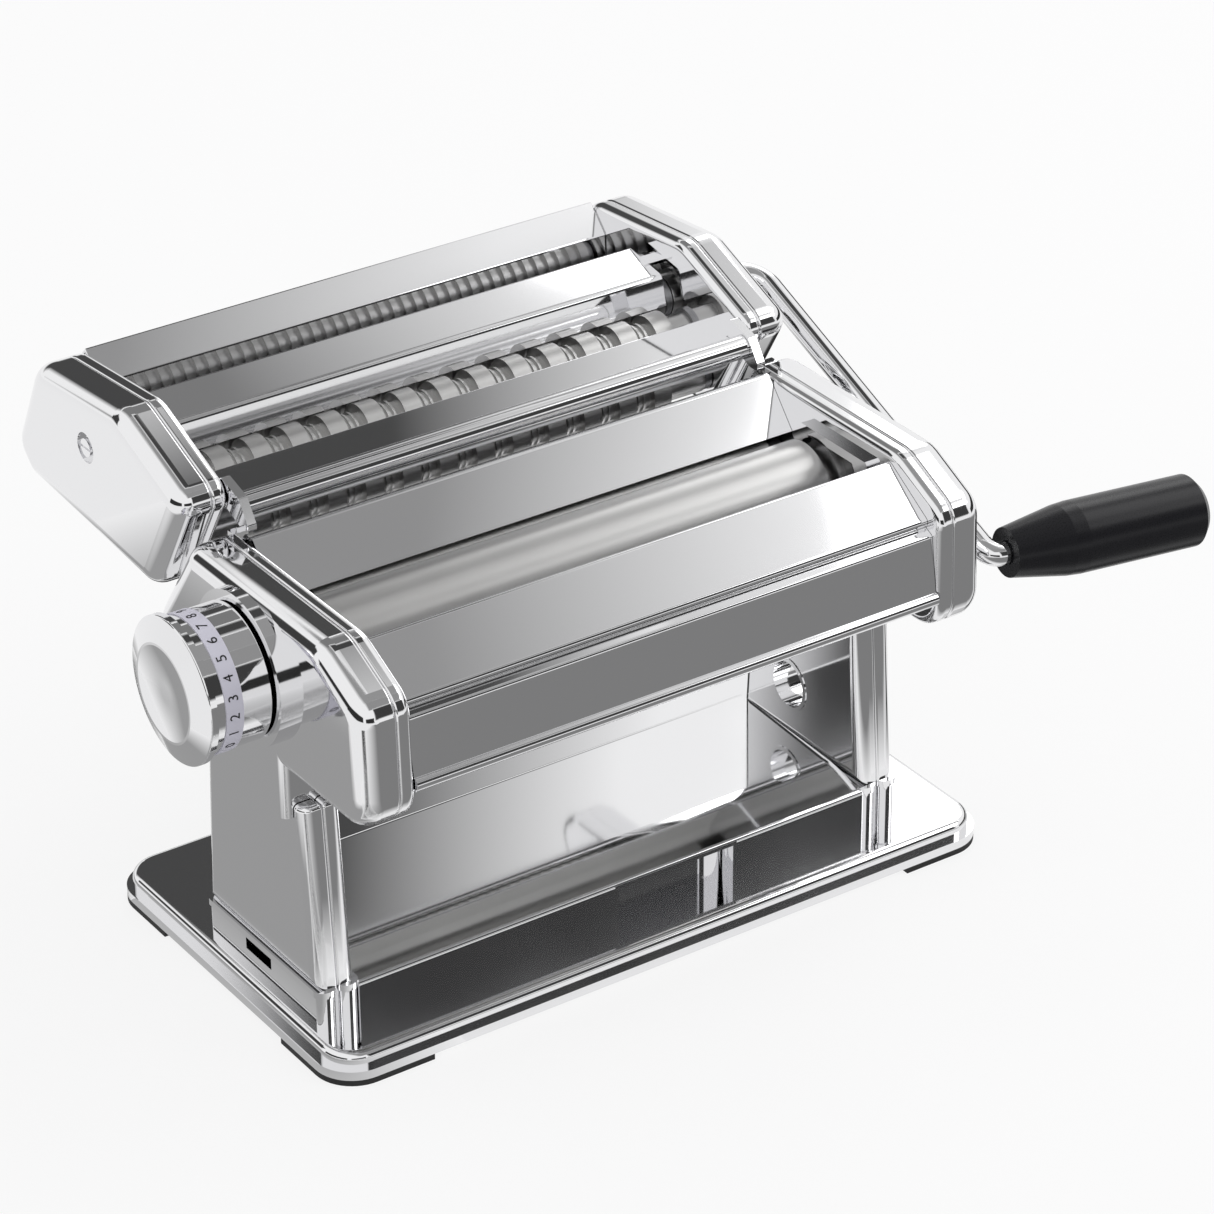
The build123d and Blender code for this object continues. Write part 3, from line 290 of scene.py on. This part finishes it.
def ridge_tree():
    tree = bpy.data.node_groups.new("neck_ridges", "GeometryNodeTree")
    sockets = {}
    for name, kind in (("Count", "NodeSocketInt"), ("Start", "NodeSocketVector"),
                       ("Step", "NodeSocketVector"), ("Radius", "NodeSocketFloat"),
                       ("Width", "NodeSocketFloat"), ("Finish", "NodeSocketMaterial")):
        sockets[name] = tree.interface.new_socket(name, in_out="INPUT", socket_type=kind).identifier
    tree.interface.new_socket("Geometry", in_out="OUTPUT", socket_type="NodeSocketGeometry")
    sizes = tree.nodes.new("NodeGroupInput")
    row = tree.nodes.new("GeometryNodeMeshLine")
    ridge = tree.nodes.new("GeometryNodeMeshCylinder")
    ridge.inputs["Vertices"].default_value = RIDGE_SIDES
    place = tree.nodes.new("GeometryNodeInstanceOnPoints")
    place.inputs["Rotation"].default_value = (0, math.pi / 2, 0)
    real = tree.nodes.new("GeometryNodeRealizeInstances")
    paint = tree.nodes.new("GeometryNodeSetMaterial")
    end = tree.nodes.new("NodeGroupOutput")
    for source, target in ((sizes.outputs["Count"], row.inputs["Count"]),
                           (sizes.outputs["Start"], row.inputs["Start Location"]),
                           (sizes.outputs["Step"], row.inputs["Offset"]),
                           (sizes.outputs["Radius"], ridge.inputs["Radius"]),
                           (sizes.outputs["Width"], ridge.inputs["Depth"]),
                           (row.outputs["Mesh"], place.inputs["Points"]),
                           (ridge.outputs["Mesh"], place.inputs["Instance"]),
                           (place.outputs["Instances"], real.inputs["Geometry"]),
                           (real.outputs["Geometry"], paint.inputs["Geometry"]),
                           (sizes.outputs["Finish"], paint.inputs["Material"]),
                           (paint.outputs["Geometry"], end.inputs["Geometry"])):
        tree.links.new(source, target)
    return tree, sockets


ridges, ridge_sockets = ridge_tree()
print("ridge tree:", len(ridges.nodes), "nodes")


# %% Ridges on the two wide rollers
def grow_ridges(name, count, start):
    holder = bpy.data.objects.new(name, bpy.data.meshes.new(name))
    bpy.context.scene.collection.objects.link(holder)
    grow = holder.modifiers.new("ridges", "NODES")
    grow.node_group = ridges
    for label, value in (("Count", count), ("Start", start), ("Step", (BLOCK_PITCH, 0, 0)),
                         ("Radius", RIDGE_R), ("Width", RIDGE_WIDTH), ("Finish", turned_steel)):
        grow[ridge_sockets[label]] = value
    bpy.context.view_layer.update()
    mesh = bpy.data.meshes.new_from_object(holder.evaluated_get(bpy.context.evaluated_depsgraph_get()))
    bpy.data.objects.remove(holder)
    return mesh


for body, node, necks in (("wide_rear", "wide_roller_rear", 12), ("wide_front", "wide_roller_front", 11)):
    middle, _ = box_middle(node)
    for side in (-1, 1):
        first_x = -BLOCK_PITCH * (necks - 1) / 2 + side * RIDGE_GAP / 2
        mesh = grow_ridges("ridges", necks, (first_x, middle.y, middle.z))
        piece = plain_object(f"{body}_ridges_{'left' if side < 0 else 'right'}", mesh, turned_steel)
        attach(piece, body)
        print(piece.name, len(mesh.polygons), "faces")

# %% [markdown]
# Behind the fine roller the feed plate turns down, so it mirrors the roller's rings. The plate is one
# folded sheet: a row of points in the side view, in mm, stretched along X, then given its thickness and
# soft folds.

# %% Feed plate of the fine cutter
PLATE_BENDS = ((117.0, 171.5), (114.8, 173.6), (106.9, 165.3), (106.3, 150.0))
PLATE_THICK = 1.0 * MM
FOLD_SOFT = 0.4 * MM
FOLD_STEPS = 3


def folded_sheet(name, bends, low_x, high_x):
    rows = [(y * MM, z * MM) for y, z in bends]
    points = [(x, y, z) for y, z in rows for x in (low_x, high_x)]
    quads = [(2 * i, 2 * i + 1, 2 * i + 3, 2 * i + 2) for i in range(len(rows) - 1)]
    mesh = bpy.data.meshes.new(name)
    mesh.from_pydata(points, [], quads)
    sheet = plain_object(name, mesh, polished_chrome)
    wall = sheet.modifiers.new("wall", "SOLIDIFY")
    wall.thickness = PLATE_THICK
    wall.offset = 0.0
    wall.use_even_offset = True
    folds = sheet.modifiers.new("folds", "BEVEL")
    folds.width = FOLD_SOFT
    folds.segments = FOLD_STEPS
    return sheet


low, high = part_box("cutter_back_plate")
feed_plate = folded_sheet("feed_plate", PLATE_BENDS, low[0], high[0])
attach(feed_plate, "cutter")
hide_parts("cutter_back_plate")
print("feed plate from", round(low[0], 3), "to", round(high[0], 3))

# %% [markdown]
# The set is a pale floor in a white room. Chrome shows whatever stands round it, so grey and black cards
# stand where only reflections find them: they are hidden from the camera and cast no shadow. Lamps
# overhead give the broad highlights.

# %% World
world = bpy.data.worlds.new("studio")
bpy.context.scene.world = world
sky = Finish(world)


def background_rays(finish):
    """1 for rays that should see the white background: the camera's, and those off metal or glass."""
    rays = [finish.node("ShaderNodeLightPath", {}, {}, name)
            for name in ("Is Camera Ray", "Is Glossy Ray", "Is Transmission Ray")]
    return rays[0] + rays[1] + rays[2]


direction = sky.node("ShaderNodeTexCoord", {}, {}, "Generated")
height = sky.node("ShaderNodeSeparateXYZ", {}, {0: direction}, "Z")
room = sky.ramp(0.5 + 0.5 * height, ((0.0, (0.5, 0.5, 0.5)), (1.0, (0.8, 0.8, 0.81))))
backdrop = sky.node("ShaderNodeMix", {"data_type": "RGBA"},
                    {0: background_rays(sky), 6: room, 7: (1.0, 1.0, 1.0, 1.0)}, 2)
glow = sky.node("ShaderNodeBackground", {}, {"Color": backdrop, "Strength": 1.0})
sky.node("ShaderNodeOutputWorld", {}, {"Surface": glow})
print("world:", len(sky.tree.nodes), "nodes")

# %% Floor
FLOOR_GREY = (0.86, 0.86, 0.86, 1.0)
FLOOR_WHITE = 0.82
FLOOR_SIZE = (8, 8)


def panel(name, centre, facing, size, material, turn=0.0):
    """A flat rectangle of the set, facing along a direction, with one UV square over it."""
    half_x, half_y = size[0] / 2, size[1] / 2
    corners = [(-half_x, -half_y, 0), (half_x, -half_y, 0), (half_x, half_y, 0), (-half_x, half_y, 0)]
    aim = Matrix.Rotation(math.pi, 4, "X") if facing[2] < 0 else Matrix.Identity(4)
    if facing[2] == 0:
        aim = Vector(facing).to_track_quat("Z", "Y").to_matrix().to_4x4()
    place = Matrix.Translation(centre) @ aim @ Matrix.Rotation(turn, 4, "Z")
    mesh = bpy.data.meshes.new(name)
    mesh.from_pydata([place @ Vector(corner) for corner in corners], [], [(0, 1, 2, 3)])
    square = mesh.uv_layers.new(name="square")
    for loop, uv in enumerate(((0, 0), (1, 0), (1, 1), (0, 1))):
        square.data[loop].uv = uv
    board = plain_object(name, mesh, material)
    return board


floor_paint, finish = new_material("floor_paint")
paint = finish.node("ShaderNodeBsdfDiffuse", {}, {"Color": FLOOR_GREY})
white = finish.node("ShaderNodeEmission", {}, {"Color": (1.0, 1.0, 1.0, 1.0), "Strength": 1.0})
lit = finish.node("ShaderNodeMixShader", {}, {0: FLOOR_WHITE * background_rays(finish), 1: paint, 2: white})
finish.node("ShaderNodeOutputMaterial", {}, {"Surface": lit})
panel("floor", (0, 0, 0), (0, 0, 1), FLOOR_SIZE, floor_paint)
print("floor laid")

# %% [markdown]
# A card with a hard edge would cut a mirror into flat patches. Studio cards fade out instead, so each one
# here runs from its own grey to the white of the room over a soft border.


# %% Soft cards
def card(name, centre, facing, size, tone, soft, turn=0.0):
    material, finish = new_material(name)
    square = finish.node("ShaderNodeUVMap", {"uv_map": "square"}, {})
    across = finish.node("ShaderNodeSeparateXYZ", {}, {0: square}, "X")
    along = finish.node("ShaderNodeSeparateXYZ", {}, {0: square}, "Y")
    side = across.maths("MINIMUM", across, 1.0 - across) * (size[0] / soft[0])
    end = along.maths("MINIMUM", along, 1.0 - along) * (size[1] / soft[1])
    inside = side.maths("MINIMUM", side, end)
    fade = finish.ramp(inside, ((0.0, (1.0, 1.0, 1.0)), (1.0, (tone, tone, tone))))
    glow = finish.node("ShaderNodeEmission", {}, {"Color": fade, "Strength": 1.0})
    finish.node("ShaderNodeOutputMaterial", {}, {"Surface": glow})
    board = panel(name, centre, facing, size, material, turn)
    board.visible_camera = False
    board.visible_diffuse = False
    board.visible_transmission = False
    board.visible_shadow = False


# %% Hang the cards
UP = (0, 0, 1)
DOWN = (0, 0, -1)
LEFT = (-1, 0, 0)
RIGHT = (1, 0, 0)
AWAY = (0, 1, 0)
NEAR = (0, -1, 0)
HARD = 0.002
CARD_LIFT = 0.002
CEILING = 1.36
CORNER_TURN = math.radians(35)
card("front_floor_card", (0.24, -0.44, CARD_LIFT), UP, (1.1, 0.72), 0.235, (0.25, 0.05))
card("left_floor_card", (-0.175, 0.09, CARD_LIFT), UP, (0.21, 0.42), 0.36, (0.06, 0.06))
card("corner_floor_card", (-0.23, -0.155, CARD_LIFT), UP, (0.26, 0.10), 0.03, (0.03, 0.03), CORNER_TURN)
card("right_floor_card", (0.28, -0.05, CARD_LIFT), UP, (0.26, 0.07), 0.03, (0.05, 0.025))
card("right_back_card", (0.27, 0.14, CARD_LIFT), UP, (0.25, 0.26), 0.03, (0.05, 0.05))
# The under card is painted shade: a near-black sheet behind and under the machine that reflections show in
# place of the floor's shadow there, which the white floor hides from glossy rays.
card("under_shade_card", (0.01, 0.16, CARD_LIFT), UP, (0.26, 0.18), 0.02, (0.04, 0.04))
card("middle_top_card", (0.1, -0.15, CEILING), DOWN, (1.5, 1.0), 0.33, (0.3, HARD))
card("front_top_card", (0.25, -1.15, CEILING), DOWN, (1.7, 1.0), 0.31, (0.3, HARD))
card("back_top_card", (0.2, 0.85, CEILING), DOWN, (1.6, 1.0), 0.22, (0.3, HARD))
card("rim_top_card", (0.3, 0.23, CEILING - 0.02), DOWN, (0.8, 0.5), 0.06, (0.12, 0.12))
card("back_card", (0.16, 1.0, 0.62), NEAR, (1.16, 0.75), 0.07, (0.22, 0.12))
card("back_left_card", (-0.97, 1.0, 0.62), NEAR, (0.66, 0.75), 0.05, (0.06, 0.12))
card("left_wall_card", (-1.2, -0.2, 0.25), RIGHT, (1.6, 0.45), 0.03, (0.05, 0.05))
card("front_wall_card", (-0.55, -1.3, 0.22), AWAY, (1.1, 0.4), 0.03, (0.05, 0.05))
card("front_right_card", (0.7, -1.25, 0.62), AWAY, (1.2, 0.98), 0.05, (0.1, 0.1))
card("right_wall_card", (1.4, 0.0, 0.22), LEFT, (2.0, 0.4), 0.03, (0.05, 0.05))
print("cards hung")

# %% [markdown]
# Three large lamps overhead on the right light the grip, the band and the floor. Each has the brightness
# of its face as its setting, because that is what a mirror shows.


# %% Lamps
def softbox(name, place, facing, size, radiance):
    """An area lamp; its power follows from how bright its face looks."""
    light = bpy.data.lights.new(name, "AREA")
    light.shape = "RECTANGLE"
    light.size, light.size_y = size
    light.energy = radiance * math.pi * size[0] * size[1]
    lamp = bpy.data.objects.new(name, light)
    aim = (Vector(place) - Vector(facing)).to_track_quat("Z", "Y").to_matrix().to_4x4()
    lamp.matrix_world = Matrix.Translation(place) @ aim
    bpy.context.scene.collection.objects.link(lamp)


LAMP_SIZE = (0.7, 0.7)
LAMP_RADIANCE = 2.2
softbox("slope_box", (1.0, -0.23, 1.3), (0, -0.06, 0.14), LAMP_SIZE, LAMP_RADIANCE)
softbox("hopper_box", (1.25, -1.06, 1.3), (0, 0.0, 0.14), LAMP_SIZE, LAMP_RADIANCE)
softbox("roof_box", (1.2, 0.94, 1.3), (0, 0.08, 0.16), LAMP_SIZE, LAMP_RADIANCE)
print("lamps:", len(bpy.data.lights))

# %% [markdown]
# The camera stands where the photographer stood: in front, to the left and above, with a long lens. Its
# place and lens were worked out from the machine's parallel edges for a square picture.

# %% Camera
CAMERA_PLACE = Vector((-0.6802, -1.0331, 0.8029))
CAMERA_TURN = math.radians(-34.207)
CAMERA_RISE = math.radians(29.464)
CAMERA_ROLL = math.radians(-0.457)
LENS = 136.0
SENSOR = 36.0
shot = bpy.data.cameras.new("shot")
shot.sensor_width = SENSOR
shot.sensor_height = SENSOR
shot.sensor_fit = "AUTO"
shot.lens = LENS
camera = bpy.data.objects.new("shot", shot)
tilt = Matrix.Rotation(CAMERA_TURN, 4, "Z") @ Matrix.Rotation(math.pi / 2 - CAMERA_RISE, 4, "X")
camera.matrix_world = Matrix.Translation(CAMERA_PLACE) @ tilt @ Matrix.Rotation(CAMERA_ROLL, 4, "Z")
bpy.context.scene.collection.objects.link(camera)
bpy.context.scene.camera = camera
bpy.context.scene.view_settings.view_transform = "Standard"

print("camera lens", LENS)
